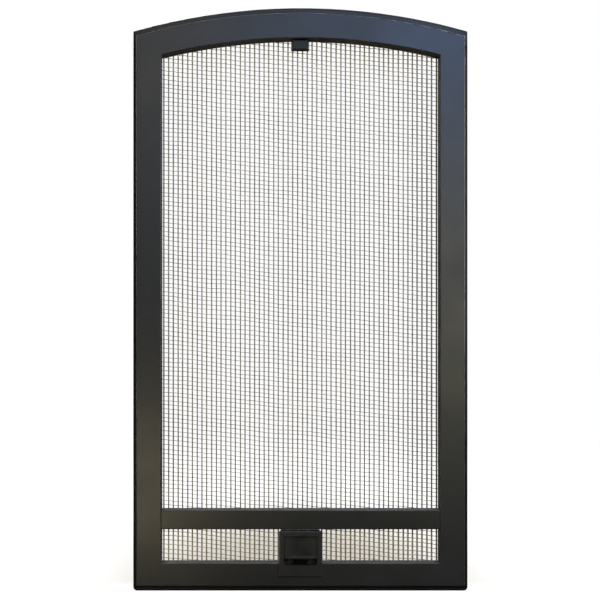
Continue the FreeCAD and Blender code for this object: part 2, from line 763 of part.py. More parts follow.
os.makedirs("parts", exist_ok=True)
for node, shape in sub_parts.items():
    shape.exportStep(f"parts/{node}.step")
    box_now = shape.optimalBoundingBox(False)
    print(
        f"{node}: {len(shape.Solids)} solid(s), {shape.Volume:.0f} mm3, valid {shape.isValid()}, "
        f"x {box_now.XMin:.2f}..{box_now.XMax:.2f} y {box_now.YMin:.2f}..{box_now.YMax:.2f} "
        f"z {box_now.ZMin:.2f}..{box_now.ZMax:.2f}"
    )
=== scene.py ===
import bmesh
import bpy
import math
from mathutils import Matrix, Vector


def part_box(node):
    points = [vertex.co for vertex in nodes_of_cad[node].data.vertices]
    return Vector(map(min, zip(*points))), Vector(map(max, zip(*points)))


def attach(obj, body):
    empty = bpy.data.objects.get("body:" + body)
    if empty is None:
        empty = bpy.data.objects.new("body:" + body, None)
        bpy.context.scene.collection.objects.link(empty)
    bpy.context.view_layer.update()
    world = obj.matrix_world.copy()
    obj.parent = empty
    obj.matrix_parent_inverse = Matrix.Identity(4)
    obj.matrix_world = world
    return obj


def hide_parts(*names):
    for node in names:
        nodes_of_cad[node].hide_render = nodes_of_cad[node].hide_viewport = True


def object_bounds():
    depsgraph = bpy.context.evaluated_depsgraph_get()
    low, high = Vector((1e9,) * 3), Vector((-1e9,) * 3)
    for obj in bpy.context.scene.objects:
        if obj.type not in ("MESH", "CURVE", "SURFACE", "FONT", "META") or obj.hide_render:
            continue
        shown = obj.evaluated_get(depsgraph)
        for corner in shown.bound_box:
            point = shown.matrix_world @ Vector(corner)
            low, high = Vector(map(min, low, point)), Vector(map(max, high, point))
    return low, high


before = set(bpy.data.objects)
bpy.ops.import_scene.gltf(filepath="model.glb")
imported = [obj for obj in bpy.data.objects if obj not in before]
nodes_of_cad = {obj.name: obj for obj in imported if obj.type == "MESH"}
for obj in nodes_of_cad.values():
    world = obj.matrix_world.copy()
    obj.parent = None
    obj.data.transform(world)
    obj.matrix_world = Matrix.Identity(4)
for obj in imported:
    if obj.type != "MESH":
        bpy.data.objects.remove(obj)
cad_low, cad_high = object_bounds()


# ---- Camera ----
# The screen stands upright and is seen square on, from a little left of its middle and a little below
# it. The lens is level, and its shift brings the screen back to the middle of the picture.
eye_distance = 0.70
eye_left = 0.0244
eye_below_middle = 0.0248
picture_width = 0.3942  # what the picture takes in, at the depth of the screen's outline
outline_depth = -0.0027
aim_left = 0.0003  # the screen stands a hair right of the picture's middle, and above it
aim_low = 0.0005

middle = (cad_low + cad_high) / 2
eye_height = middle.z - eye_below_middle
reach = eye_distance + outline_depth

camera = bpy.data.objects.new("camera", bpy.data.cameras.new("camera"))
bpy.context.scene.collection.objects.link(camera)
camera.location = (middle.x - eye_left, -eye_distance, eye_height)
camera.rotation_euler = (math.pi / 2, 0, 0)
camera.data.sensor_width = 36
camera.data.lens = camera.data.sensor_width * reach / picture_width
camera.data.shift_x = (eye_left - aim_left) / picture_width
camera.data.shift_y = (eye_below_middle - aim_low) / picture_width
bpy.context.scene.camera = camera
bpy.context.scene.view_settings.view_transform = "Standard"


# ---- Studio ----
# A white high-key set: the surroundings are white where the lens sees them and dim elsewhere, so that
# black paint stays black, and softboxes do the lighting. The floor is a pale sheet, with a soft warm
# shadow painted into its glow just behind the screen, which shows through the lower windows.
class Field:
    """One output of a node. Arithmetic on it adds Math nodes to its tree."""

    def __init__(self, nodes, socket):
        self.nodes = nodes
        self.socket = socket

    def maths(self, operation, *terms):
        return self.nodes.add("ShaderNodeMath", {"operation": operation}, dict(enumerate(terms)))

    def __add__(self, other):
        return self.maths("ADD", self, other)

    def __sub__(self, other):
        return self.maths("SUBTRACT", self, other)

    def __rsub__(self, other):
        return self.maths("SUBTRACT", other, self)

    def __mul__(self, other):
        return self.maths("MULTIPLY", self, other)

    def __truediv__(self, other):
        return self.maths("DIVIDE", self, other)

    def __rtruediv__(self, other):
        return self.maths("DIVIDE", other, self)

    def __pow__(self, power):
        return self.maths("POWER", self, power)

    def __abs__(self):
        return self.maths("ABSOLUTE", self)

    __radd__ = __add__
    __rmul__ = __mul__

    def least(self, other):
        return self.maths("MINIMUM", self, other)

    def most(self, other):
        return self.maths("MAXIMUM", self, other)

    def rise(self, start, end):
        """0 below start, 1 above end, and smooth between them."""
        settings = {"interpolation_type": "SMOOTHSTEP"}
        return self.nodes.add(
            "ShaderNodeMapRange", settings, {"Value": self, "From Min": start, "From Max": end}
        )


class Nodes:
    """A node tree that is being built."""

    def __init__(self, tree):
        self.tree = tree
        tree.nodes.clear()

    def add(self, kind, settings=None, sockets=None, output=0):
        """A new node. Its settings are set first, then its sockets get their values or links."""
        node = self.tree.nodes.new(kind)
        for name, setting in (settings or {}).items():
            setattr(node, name, setting)
        for key, given in (sockets or {}).items():
            if isinstance(given, Field):
                self.tree.links.new(given.socket, node.inputs[key])
            else:
                node.inputs[key].default_value = given
        return Field(self, node.outputs[output]) if node.outputs else None

    def tint(self, share, low, high):
        """One colour turning into another as share goes from 0 to 1."""
        return self.add("ShaderNodeMix", {"data_type": "RGBA"}, {0: share, 6: low, 7: high}, 2)

    def axes(self, vector):
        return [self.add("ShaderNodeSeparateXYZ", {}, {0: vector}, axis) for axis in range(3)]


def shade(red, green, blue):
    return (red, green, blue, 1.0)


world_fill = 0.016

world = bpy.data.worlds.new("studio")
bpy.context.scene.world = world
world.use_nodes = True
sky = Nodes(world.node_tree)
heading = sky.add("ShaderNodeTexCoord", {}, {}, "Generated")
_, north, up = sky.axes(heading)
above = up.rise(-0.1, 1.0)
behind = north.rise(0.2, 1.0)
dim = sky.add("ShaderNodeBackground", {}, {
    "Color": shade(0.95, 0.97, 1.0),
    "Strength": world_fill * (0.15 + above + behind * 0.6),
})
seen = sky.add("ShaderNodeBackground", {}, {"Color": shade(1, 1, 1), "Strength": 1.0})
lens_ray = sky.add("ShaderNodeLightPath", {}, {}, "Is Camera Ray")
both = sky.add("ShaderNodeMixShader", {}, {0: lens_ray, 1: dim, 2: seen})
sky.add("ShaderNodeOutputWorld", {}, {"Surface": both})


def softbox(name, place, target, size, watts, colour):
    """A rectangular lamp at a place, facing a target, and out of the lens's sight."""
    lamp = bpy.data.lights.new(name, "AREA")
    lamp.shape = "RECTANGLE"
    lamp.size, lamp.size_y = size
    lamp.energy = watts
    lamp.color = colour
    holder = bpy.data.objects.new(name, lamp)
    bpy.context.scene.collection.objects.link(holder)
    holder.location = place
    holder.rotation_euler = (Vector(target) - Vector(place)).to_track_quat("-Z", "Y").to_euler()
    holder.visible_camera = False


softbox("overhead_box", (0.0, -0.20, 1.3), (0, 0, 0.1), (1.4, 0.9), 4.0, (1.0, 0.98, 0.95))
softbox("cool_box", (0.27, -0.78, 0.66), (0.07, 0, 0.33), (0.40, 0.34), 2.5, (0.30, 0.48, 1.0))
softbox("left_box", (-0.26, -0.75, 0.60), (-0.09, 0, 0.36), (0.24, 0.30), 0.45, (1.0, 0.70, 0.25))
softbox("side_box", (0.24, -0.72, 0.23), (0.10, 0, 0.19), (0.12, 0.34), 0.88, (1.0, 0.93, 0.64))
softbox("right_strip", (0.75, -0.42, 0.25), (0.08, 0, 0.2), (0.10, 0.8), 1.8, (1.0, 0.97, 0.90))
softbox("warm_card", (-0.17, -0.26, 0.004), (-0.14, -0.05, 0.20), (0.16, 0.16), 0.50, (1.0, 0.86, 0.55))
softbox("front_box", (-0.02, -1.6, 0.9), (0, 0, 0.2), (1.2, 0.9), 4.2, (0.66, 0.85, 1.0))
softbox("rear_left_box", (-1.0, 0.85, 0.60), (0, 0, 0.2), (0.6, 0.5), 3.0, (1.0, 0.99, 0.97))
softbox("rear_right_box", (1.0, 0.85, 0.50), (0, 0, 0.2), (0.7, 0.7), 10.0, (0.97, 0.99, 1.0))
softbox("rear_top_box", (-0.1, 0.9, 1.2), (0, 0, 0.2), (1.2, 0.7), 24.0, (1.0, 1.0, 1.0))
softbox("left_edge_strip", (-1.1, 0.01, 0.25), (0, 0.01, 0.2), (0.08, 0.6), 2.6, (1.0, 0.98, 0.95))
softbox("right_edge_strip", (1.1, 0.01, 0.25), (0, 0.01, 0.2), (0.08, 0.6), 2.6, (0.95, 0.98, 1.0))

floor_size = 8.0
# The painted shadow: a soft warm patch painted into the floor's glow just behind the screen.
painted_shadow_half_width = 0.18
painted_shadow_middle = 0.06  # behind the screen
painted_shadow_half_depth = 0.38
painted_shadow_strength = 0.46
floor_glow = 0.96  # near the screen; far off it reaches 1, as the surroundings do
sheet = bmesh.new()
bmesh.ops.create_grid(sheet, x_segments=1, y_segments=1, size=floor_size / 2)
floor_mesh = bpy.data.meshes.new("floor")
sheet.to_mesh(floor_mesh)
sheet.free()
floor = bpy.data.objects.new("floor", floor_mesh)
bpy.context.scene.collection.objects.link(floor)
floor_paint = bpy.data.materials.new("floor_sheet")
floor_paint.use_nodes = True
paper = Nodes(floor_paint.node_tree)
place = paper.add("ShaderNodeTexCoord", {}, {}, "Object")
x, y, _ = paper.axes(place)
far = ((x * x + y * y) ** 0.5).rise(0.35, 1.2)
matt = paper.add("ShaderNodeBsdfDiffuse", {}, {
    "Color": paper.tint(far, shade(0.12, 0.12, 0.12), shade(0, 0, 0)),
})
spread = ((x / painted_shadow_half_width) ** 2 + ((y - painted_shadow_middle) / painted_shadow_half_depth) ** 2) ** 0.5
# Painted shadow: the glow is dimmed and warmed in a soft patch behind the screen.
painted_floor_shadow = (1 - spread.rise(0.2, 1.0)) * y.rise(-0.004, 0.03)
glare = paper.add("ShaderNodeEmission", {}, {
    "Color": paper.tint(painted_floor_shadow, shade(1, 1, 1), shade(1.0, 0.93, 0.80)),
    "Strength": floor_glow + far * (1 - floor_glow) - painted_floor_shadow * painted_shadow_strength,
})
pale = paper.add("ShaderNodeAddShader", {}, {0: matt, 1: glare})
dull = paper.add("ShaderNodeBsdfDiffuse", {}, {"Color": shade(0.03, 0.03, 0.03)})
lens_ray = paper.add("ShaderNodeLightPath", {}, {}, "Is Camera Ray")
both = paper.add("ShaderNodeMixShader", {}, {0: lens_ray, 1: dull, 2: pale})
paper.add("ShaderNodeOutputMaterial", {}, {"Surface": both})
floor_mesh.materials.append(floor_paint)


# ---- Cast frame ----
# One light-alloy casting, open at the rear: a low outer lip, a raised flat band round the opening and
# an inner wall that the mesh seats on. It is powder-coated satin black, with a fine orange-peel skin.
def new_finish(name):
    """An empty material and its tree."""
    material = bpy.data.materials.new(name)
    material.use_nodes = True
    return material, Nodes(material.node_tree)


def close_finish(nodes, painted_shade_share=0.0, **sockets):
    """Ends a material in one Principled shader, with near-black matt painted over the given share of it as
    painted shade.
    """
    sockets = {name.replace("_", " "): given for name, given in sockets.items()}
    shader = nodes.add("ShaderNodeBsdfPrincipled", {}, sockets)
    if isinstance(painted_shade_share, Field):
        # near-black matt with little sheen, laid over the finish as painted shade
        painted_shade = nodes.add("ShaderNodeBsdfPrincipled", {}, {
            "Base Color": shade(0.003, 0.003, 0.003), "Roughness": 0.85, "Specular IOR Level": 0.08,
        })
        shader = nodes.add("ShaderNodeMixShader", {}, {0: painted_shade_share, 1: shader, 2: painted_shade})
    nodes.add("ShaderNodeOutputMaterial", {}, {"Surface": shader})


def noise(nodes, place, scale, detail=2.0, roughness=0.5):
    sockets = {"Vector": place, "Scale": scale, "Detail": detail, "Roughness": roughness}
    return nodes.add("ShaderNodeTexNoise", {}, sockets)


def dress(node, material):
    """Gives a CAD piece its finish in every slot."""
    mesh = nodes_of_cad[node].data
    if not mesh.materials:
        mesh.materials.append(material)
    for place in range(len(mesh.materials)):
        mesh.materials[place] = material


def powder_coat(name, dark, light, edge_distance, polish=0.36, shine=0.5, painted_shade_mask=None):
    """Satin powder coat. edge_distance(x, y, z) gives the way to the nearest rubbed edge, in metres,
    and the optional shade mask, when given, is 1 where near-black matt is painted over the coat as shade."""
    material, nodes = new_finish(name)
    place = nodes.add("ShaderNodeTexCoord", {}, {}, "Object")
    x, y, z = nodes.axes(place)
    drift = noise(nodes, place, 16, 3.0).rise(0.3, 0.7)
    mottle = noise(nodes, place, 420, 2.0)
    peel = noise(nodes, place, 750, 1.5)
    grain = noise(nodes, place, 4200, 2.0, 0.7)
    coat = nodes.tint(drift * 0.7 + mottle * 0.3, dark, light)

    normal = nodes.add("ShaderNodeNewGeometry", {}, {}, "Normal")
    level = nodes.axes(normal)[2]
    lint = noise(nodes, place, 1500, 3.0, 0.65).rise(0.50, 0.74)
    settled = level.rise(0.55, 0.95) * (0.04 + lint * 0.3)
    coat = nodes.tint(settled * 0.16, coat, shade(0.16, 0.15, 0.13))
    specks = noise(nodes, place, 1100, 1.0).rise(0.74, 0.80)
    coat = nodes.tint(specks * 0.35, coat, shade(0.16, 0.155, 0.145))

    ragged = (noise(nodes, place, 230, 3.0) - 0.5) * 0.0010
    rubbed = 1 - (edge_distance(x, y, z) + ragged).rise(0.0000, 0.0007)
    patchy = noise(nodes, place, 60, 2.0).rise(0.42, 0.66)
    worn = rubbed * (0.25 + patchy * 0.75)
    coat = nodes.tint(worn * 0.45, coat, shade(0.085, 0.085, 0.083))

    gloss = polish + (noise(nodes, place, 34, 3.0) - 0.5) * 0.16 + mottle * 0.05
    gloss = gloss - worn * 0.07 + settled * 0.10
    # painted shade: the share of near-black matt over the coat
    painted_shade = painted_shade_mask(x, y, z) * 0.85 if painted_shade_mask else 0.0
    height = peel * 0.7 + grain * 0.3
    skin = nodes.add("ShaderNodeBump", {}, {
        "Strength": 0.32, "Distance": 0.00006, "Height": height,
    })
    close_finish(nodes, painted_shade, Base_Color=coat, Roughness=gloss, Normal=skin, Specular_IOR_Level=shine)
    return material


def arch_of(node):
    """Half width, radius and centre height of the arch along the top of a CAD piece."""
    low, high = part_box(node)
    corner = max(v.co.z for v in nodes_of_cad[node].data.vertices if v.co.x > high.x - 0.0004)
    rise = high.z - corner
    radius = (high.x**2 + rise**2) / (2 * rise)
    return high.x, radius, high.z - radius


frame_low, frame_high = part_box("front_frame")
sheet_half, sheet_radius, arch_centre = arch_of("wire_mesh")
frame_half = frame_high.x
frame_radius = frame_high.z - arch_centre
band_in_side = 0.0023
band_in_top = 0.0044
band_in_bottom = 0.0036
opening_in_side = 0.0187
opening_in_top = 0.0208
opening_in_bottom = 0.0189


def inset(x, z, side, top, bottom):
    """How far a point is inside the frame's outline drawn in by three insets; below 0 outside it."""
    from_side = (frame_half - side) - abs(x)
    from_top = (frame_radius - top) - (x * x + (z - arch_centre) ** 2) ** 0.5
    from_bottom = z - bottom
    return from_side.least(from_top).least(from_bottom)


def frame_edges(x, y, z):
    band = inset(x, z, band_in_side, band_in_top, band_in_bottom)
    opening = inset(x, z, opening_in_side, opening_in_top, opening_in_bottom)
    rim = inset(x, z, 0, 0, 0)
    return abs(band).least(abs(opening)).least(abs(rim))


def frame_painted_shade(x, y, z):
    """1 on the low lip outside the raised band, on the front, where near-black matt is painted as shade;
    less at the top and bottom, where light falls on the lip.
    """
    lip = 1 - inset(x, z, band_in_side, band_in_top, band_in_bottom).rise(-0.0004, 0.0001)
    lit_top_and_bottom = (z.rise(0.355, 0.372) * 0.7).most((1 - z.rise(0.0014, 0.0024)) * 0.7)
    return lip * (1 - y.rise(0.002, 0.004)) * (1 - lit_top_and_bottom)


# The frame's low lip carries painted shade: near-black matt on its front, less at the top and bottom.
frame_coat = powder_coat(
    "frame_powder_coat", shade(0.0125, 0.0128, 0.0130), shade(0.0175, 0.0180, 0.0185), frame_edges,
    painted_shade_mask=frame_painted_shade,
)
dress("front_frame", frame_coat)


# ---- Crossbar ----
# A cast channel let into the sides of the frame by a tenon at each end. It has the frame's own coat,
# rubbed along its two front edges.
bar_low, bar_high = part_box("crossbar")


def bar_edges(x, y, z):
    return (z - bar_low.z).least(bar_high.z - z) + (y - bar_low.y).most(0)


dress("crossbar", powder_coat(
    "crossbar_powder_coat", shade(0.0115, 0.0116, 0.0113), shade(0.0165, 0.0165, 0.016), bar_edges
))


# ---- Locating lug ----
# A small drafted block cast with a neck and a foot, screwed up inside the arch. It bears on the stove,
# so its coat is rubbed all round.
lug_low, lug_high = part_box("locating_lug")


def lug_edges(x, y, z):
    return (lug_high.x - abs(x)).least(z - lug_low.z) + (y - lug_low.y).most(0) * 0.5


dress("locating_lug", powder_coat(
    "lug_powder_coat", shade(0.012, 0.012, 0.012), shade(0.017, 0.017, 0.017), lug_edges, 0.44, 0.3
))


# ---- Woven mesh ----
# Plain weave of blackened steel wire, eight upright wires to the inch. The stout uprights stay nearly
# straight, and the finer level wires bend over and under them. The sheet is trimmed to the arch.
mesh_low, mesh_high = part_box("wire_mesh")
mesh_depth = (mesh_low.y + mesh_high.y) / 2
upright_pitch = 0.003175
level_pitch = 0.00288
upright_radius = 0.00042
level_radius = 0.00020
upright_crimp = 0.00004
level_crimp = 0.00039
level_slope = 0.0975  # the level wires were clamped a little out of true
spare_wires = 4  # past the sheet's edge, to be trimmed
wire_wander = 0.0003
wire_sides = 5
upright_shade_fattening = 0.42  # how much fatter the wires near the sheet's margins are drawn, as painted shade
level_shade_fattening = 0.24


def weave_tree():
    """One set of parallel wires, crimped where they cross the other set and cut to the arched sheet."""
    tree = bpy.data.node_groups.new("woven_wires", "GeometryNodeTree")
    tree.interface.new_socket("Mesh", in_out="OUTPUT", socket_type="NodeSocketGeometry")
    tree.interface.new_socket("Wires", in_out="INPUT", socket_type="NodeSocketInt")
    tree.interface.new_socket("Points", in_out="INPUT", socket_type="NodeSocketInt")
    numbers = ("First wire", "Pitch", "Start", "Length", "Crossing pitch", "Radius", "Crimp", "Level",
               "Depth", "Half width", "Bottom", "Arch radius", "Arch centre", "Wander", "Slope",
               "Shade fattening")
    for name in numbers:
        tree.interface.new_socket(name, in_out="INPUT", socket_type="NodeSocketFloat")
    tree.interface.new_socket("Sides", in_out="INPUT", socket_type="NodeSocketInt")
    tree.interface.new_socket("Wire finish", in_out="INPUT", socket_type="NodeSocketMaterial")
    nodes = Nodes(tree)
    gate = tree.nodes.new("NodeGroupInput")
    given = {socket.name: Field(nodes, socket) for socket in gate.outputs if socket.name}

    def joined(x, y, z):
        return nodes.add("ShaderNodeCombineXYZ", {}, {0: x, 1: y, 2: z})

    # straight wires first: x numbers the wires, and z runs along them
    starts = nodes.add("GeometryNodeMeshLine", {}, {
        "Count": given["Wires"],
        "Start Location": joined(given["First wire"], 0.0, 0.0),
        "Offset": joined(given["Pitch"], 0.0, 0.0),
    })
    strand = nodes.add("GeometryNodeCurvePrimitiveLine", {}, {
        "Start": joined(0.0, 0.0, given["Start"]),
        "End": joined(0.0, 0.0, given["Start"] + given["Length"]),
    })
    strand = nodes.add("GeometryNodeResampleCurve", {}, {"Curve": strand, "Count": given["Points"]})
    wires = nodes.add("GeometryNodeInstanceOnPoints", {}, {"Points": starts, "Instance": strand})
    wires = nodes.add("GeometryNodeRealizeInstances", {}, {"Geometry": wires})

    across, _, along = nodes.axes(nodes.add("GeometryNodeInputPosition"))
    number = nodes.add("ShaderNodeMath", {"operation": "ROUND"}, {
        0: (across - given["First wire"]) / given["Pitch"],
    })
    crossing = (along - given["Start"]) / given["Crossing pitch"] - 0.25
    wave = nodes.add("ShaderNodeMath", {"operation": "COSINE"}, {0: (crossing + number) * math.pi})
    turned = given["Level"]
    x = across + (along - across) * turned
    z = along + (across - along) * turned
    y = given["Depth"] + wave * given["Crimp"] / math.cos(math.pi / 4)

    # the loom leaves the sheet a little uneven: both sets of wires follow the same drift
    flat = joined(x, 0.0, z)
    drift = nodes.add("ShaderNodeTexNoise", {}, {"Vector": flat, "Scale": 26.0, "Detail": 1.0}, "Color")
    kink = nodes.add("ShaderNodeTexNoise", {}, {"Vector": flat, "Scale": 210.0, "Detail": 2.0}, "Color")
    drift_x, _, drift_z = nodes.axes(drift)
    kink_x, _, kink_z = nodes.axes(kink)
    spread = nodes.add("FunctionNodeRandomValue", {"data_type": "FLOAT"}, {
        2: -1.0, 3: 1.0, "ID": number, "Seed": 11,
    }, 1)
    wander = given["Wander"]
    x_moved = x + ((drift_x - 0.5) * 0.5 + (kink_x - 0.5) * 0.2) * wander
    x_moved = x_moved + spread * wander * 0.55 * (1 - turned)
    z_moved = z - x * given["Slope"] + ((drift_z - 0.5) * 9.0 + (kink_z - 0.5) * 1.6) * wander
    z_moved = z_moved + spread * wander * 0.7 * turned
    wires = nodes.add("GeometryNodeSetPosition", {}, {
        "Geometry": wires, "Position": joined(x_moved, y, z_moved),
    })

    px, _, pz = nodes.axes(nodes.add("GeometryNodeInputPosition"))
    crown = given["Arch centre"] + (given["Arch radius"] ** 2 - px * px) ** 0.5
    over = (pz - crown).most(given["Bottom"] - pz).most(abs(px) - given["Half width"])
    outside = nodes.add("FunctionNodeCompare", {"data_type": "FLOAT", "operation": "GREATER_THAN"}, {
        0: over, 1: 0.0,
    })
    wires = nodes.add("GeometryNodeDeleteGeometry", {"domain": "POINT"}, {
        "Geometry": wires, "Selection": outside,
    })
    from_side = given["Half width"] - abs(px)
    # Painted shade: wires near the sheet's margins and in the lower windows are drawn fatter, more so to
    # the right, to darken the mesh there.
    margin = (from_side.least(crown - pz).least(pz - given["Bottom"]) - 0.010)
    shaded_margin = (1 - margin.rise(0.0, 0.028)).most(1 - pz.rise(0.036, 0.070))
    shade_fattening = 1 + shaded_margin * (0.55 + px.rise(-0.06, 0.09) * 0.45) * given["Shade fattening"]
    section = nodes.add("GeometryNodeCurvePrimitiveCircle", {"mode": "RADIUS"}, {
        "Resolution": given["Sides"], "Radius": given["Radius"],
    })
    tubes = nodes.add("GeometryNodeCurveToMesh", {}, {
        "Curve": wires, "Profile Curve": section, "Scale": shade_fattening, "Fill Caps": True,
    })
    tubes = nodes.add("GeometryNodeSetShadeSmooth", {}, {0: tubes, "Shade Smooth": True})
    tubes = nodes.add("GeometryNodeRealizeInstances", {}, {"Geometry": tubes})
    tubes = nodes.add("GeometryNodeSetMaterial", {}, {
        "Geometry": tubes, "Material": given["Wire finish"],
    })
    nodes.add("NodeGroupOutput", {}, {0: tubes})
    return tree


def grown(name, source, tree, values):
    """Runs a node tree on a source mesh with its inputs set, and keeps the result as a plain mesh."""
    holder = bpy.data.objects.new(name + "_source", source)
    bpy.context.scene.collection.objects.link(holder)
    modifier = holder.modifiers.new(name, "NODES")
    modifier.node_group = tree
    for item in tree.interface.items_tree:
        if item.item_type == "SOCKET" and item.in_out == "INPUT" and item.name in values:
            modifier[item.identifier] = values[item.name]
    bpy.context.view_layer.update()
    graph = bpy.context.evaluated_depsgraph_get()
    mesh = bpy.data.meshes.new_from_object(holder.evaluated_get(graph), depsgraph=graph)
    holder.modifiers.remove(modifier)
    bpy.data.objects.remove(holder)
    mesh.name = name
    piece = bpy.data.objects.new(name, mesh)
    bpy.context.scene.collection.objects.link(piece)
    return piece


def wire_finish(name, dark, light):
    """Steel wire blackened by oil and heat, brighter where the weave has rubbed, and tinted beige near the
    arch and low down as painted shade.
    """
    material, nodes = new_finish(name)
    place = nodes.add("ShaderNodeTexCoord", {}, {}, "Object")
    _, y, z = nodes.axes(place)
    blotch = noise(nodes, place, 90, 3.0).rise(0.35, 0.68)
    fine = noise(nodes, place, 2600, 2.0)
    coat = nodes.tint(blotch * 0.7 + fine * 0.3, dark, light)
    # Painted shade: the wires under the arch and in the lower windows are tinted beige, standing in for
    # the frame's shadow behind the mesh.
    painted_beige_shade = z.rise(0.325, 0.355).most(1 - z.rise(0.036, 0.060))
    coat = nodes.tint(painted_beige_shade * 0.6, coat, shade(0.46, 0.38, 0.24))
    rubbed = (abs(y - mesh_depth)).rise(level_crimp, level_crimp + level_radius) * fine.rise(0.4, 0.6)
    coat = nodes.tint(rubbed * 0.5, coat, shade(0.20, 0.19, 0.18))
    rust = noise(nodes, place, 300, 2.0).rise(0.62, 0.72)
    coat = nodes.tint(rust * 0.35, coat, shade(0.10, 0.055, 0.03))
    gloss = 0.42 + fine * 0.2 - rubbed * 0.1
    skin = nodes.add("ShaderNodeBump", {}, {"Strength": 0.3, "Distance": 0.00002, "Height": fine})
    close_finish(nodes, Base_Color=coat, Roughness=gloss, Metallic=0.35, Normal=skin)
    return material


woven = weave_tree()
upright_count = int(2 * sheet_half / upright_pitch)
level_count = int((mesh_high.z - mesh_low.z) / level_pitch) + 2 * spare_wires
first_upright = -(upright_count - 1) / 2 * upright_pitch
first_level = mesh_low.z + (0.5 - spare_wires) * level_pitch
shared = {
    "Depth": mesh_depth, "Half width": sheet_half - level_radius, "Bottom": mesh_low.z + level_radius,
    "Arch radius": sheet_radius - level_radius, "Arch centre": arch_centre, "Wander": wire_wander,
    "Slope": level_slope, "Sides": wire_sides,
}
uprights = grown("wire_mesh_uprights", bpy.data.meshes.new("uprights_seed"), woven, {
    **shared, "Wires": upright_count, "Points": 2 * level_count, "First wire": first_upright,
    "Pitch": upright_pitch, "Start": first_level - 0.25 * level_pitch,
    "Length": (level_count - 0.5) * level_pitch, "Crossing pitch": level_pitch,
    "Radius": upright_radius, "Crimp": upright_crimp, "Level": 0.0, "Shade fattening": upright_shade_fattening,
    "Wire finish": wire_finish("upright_wire", shade(0.24, 0.215, 0.18), shade(0.37, 0.335, 0.28)),
})
levels = grown("wire_mesh_levels", bpy.data.meshes.new("levels_seed"), woven, {
    **shared, "Wires": level_count, "Points": 2 * upright_count, "First wire": first_level,
    "Pitch": level_pitch, "Start": first_upright - 0.25 * upright_pitch,
    "Length": (upright_count - 0.5) * upright_pitch, "Crossing pitch": upright_pitch,
    "Radius": level_radius, "Crimp": -level_crimp, "Level": 1.0, "Shade fattening": level_shade_fattening,
    "Wire finish": wire_finish("level_wire", shade(0.30, 0.27, 0.23), shade(0.44, 0.40, 0.34)),
})
for wires in (uprights, levels):
    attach(wires, "screen")
    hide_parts("wire_mesh")


# ---- Clamp strips ----
# Flat strips of cold-rolled steel, sheared and punched, dipped in thin black paint. Screws hold them
# against the mesh all round the opening and along the crossbar.
def strip_finish(name, lengthwise):
    """Thin black paint over rolled steel, scuffed along its length (x, or z)."""
    material, nodes = new_finish(name)
    place = nodes.add("ShaderNodeTexCoord", {}, {}, "Object")
    stretch = (60, 900, 900) if lengthwise == "x" else (900, 900, 60)
    drawn = nodes.add("ShaderNodeMapping", {}, {"Vector": place, "Scale": stretch})
    streak = noise(nodes, drawn, 1.0, 4.0, 0.6)
    blotch = noise(nodes, place, 45, 3.0).rise(0.35, 0.7)
    coat = nodes.tint(blotch, shade(0.028, 0.028, 0.029), shade(0.052, 0.052, 0.053))
    scuffed = streak.rise(0.56, 0.74) * noise(nodes, place, 22, 2.0).rise(0.40, 0.62)
    coat = nodes.tint(scuffed * 0.6, coat, shade(0.15, 0.15, 0.15))
    gloss = 0.46 + blotch * 0.12 - scuffed * 0.12
    skin = nodes.add("ShaderNodeBump", {}, {"Strength": 0.25, "Distance": 0.00003, "Height": streak})
    close_finish(nodes, Base_Color=coat, Roughness=gloss, Metallic=scuffed * 0.8, Normal=skin)
    return material


level_strip = strip_finish("level_strip_paint", "x")
upright_strip = strip_finish("upright_strip_paint", "z")
for strip in ("retainer_top", "retainer_bottom_left", "retainer_bottom_right", "crossbar_strip"):
    dress(strip, level_strip)
for strip in ("retainer_left", "retainer_right"):
    dress(strip, upright_strip)


# ---- Latch bracket and back plate ----
# Pressed steel: the bracket's foot is screwed to the frame and its tongue backs the latch. The plate
# closes the latch case. Both have the strips' thin black paint.
dress("latch_bracket", upright_strip)
dress("latch_back_plate", level_strip)


# ---- Screws ----
# Blackened steel pan-head screws with a cross recess, driven from the rear through the strips and the
# bracket. Each is turned on a lathe, and they stop at any angle.
head_radius = 0.0024
head_height = 0.0012
shank_radius = 0.0011
cross_span = 0.0028
cross_width = 0.00062
cross_depth = 0.0008


def lathe(profile, sides):
    """A closed solid turned about Y from (radius, y) points; its first and last radius are 0."""
    shape = bmesh.new()
    rings = []
    for radius, y in profile:
        if radius == 0:
            rings.append([shape.verts.new((0, y, 0))])
            continue
        turns = [2 * math.pi * side / sides for side in range(sides)]
        rings.append([shape.verts.new((radius * math.cos(t), y, radius * math.sin(t))) for t in turns])
    for low, high in zip(rings, rings[1:]):
        for side in range(sides):
            after = (side + 1) % sides
            corners = [low[side % len(low)], low[after % len(low)],
                       high[after % len(high)], high[side % len(high)]]
            shape.faces.new(list(dict.fromkeys(corners)))
    bmesh.ops.recalc_face_normals(shape, faces=shape.faces)
    return shape


def cross_cutter(top_y):
    """A tapered cross, wide at the top of the head and closing towards its point."""
    shape = bmesh.new()
    loops = []
    for y, share in ((top_y + cross_depth, 1.25), (top_y - cross_depth, 0.55)):
        long, short = cross_span / 2 * share, cross_width / 2 * share
        outline = []
        for quarter in range(4):
            turn = Matrix.Rotation(quarter * math.pi / 2, 3, "Y")
            for corner in ((long, 0, short), (long, 0, -short), (short, 0, -short)):
                outline.append(shape.verts.new(turn @ Vector(corner) + Vector((0, y, 0))))
        loops.append(outline)
    for first in range(12):
        after = (first + 1) % 12
        shape.faces.new((loops[0][first], loops[0][after], loops[1][after], loops[1][first]))
    shape.faces.new(loops[0])
    shape.faces.new(loops[1])
    bmesh.ops.recalc_face_normals(shape, faces=shape.faces)
    return shape


def shaped(name, shape):
    """A bmesh turned into an object in the scene."""
    mesh = bpy.data.meshes.new(name)
    shape.to_mesh(mesh)
    shape.free()
    thing = bpy.data.objects.new(name, mesh)
    bpy.context.scene.collection.objects.link(thing)
    return thing


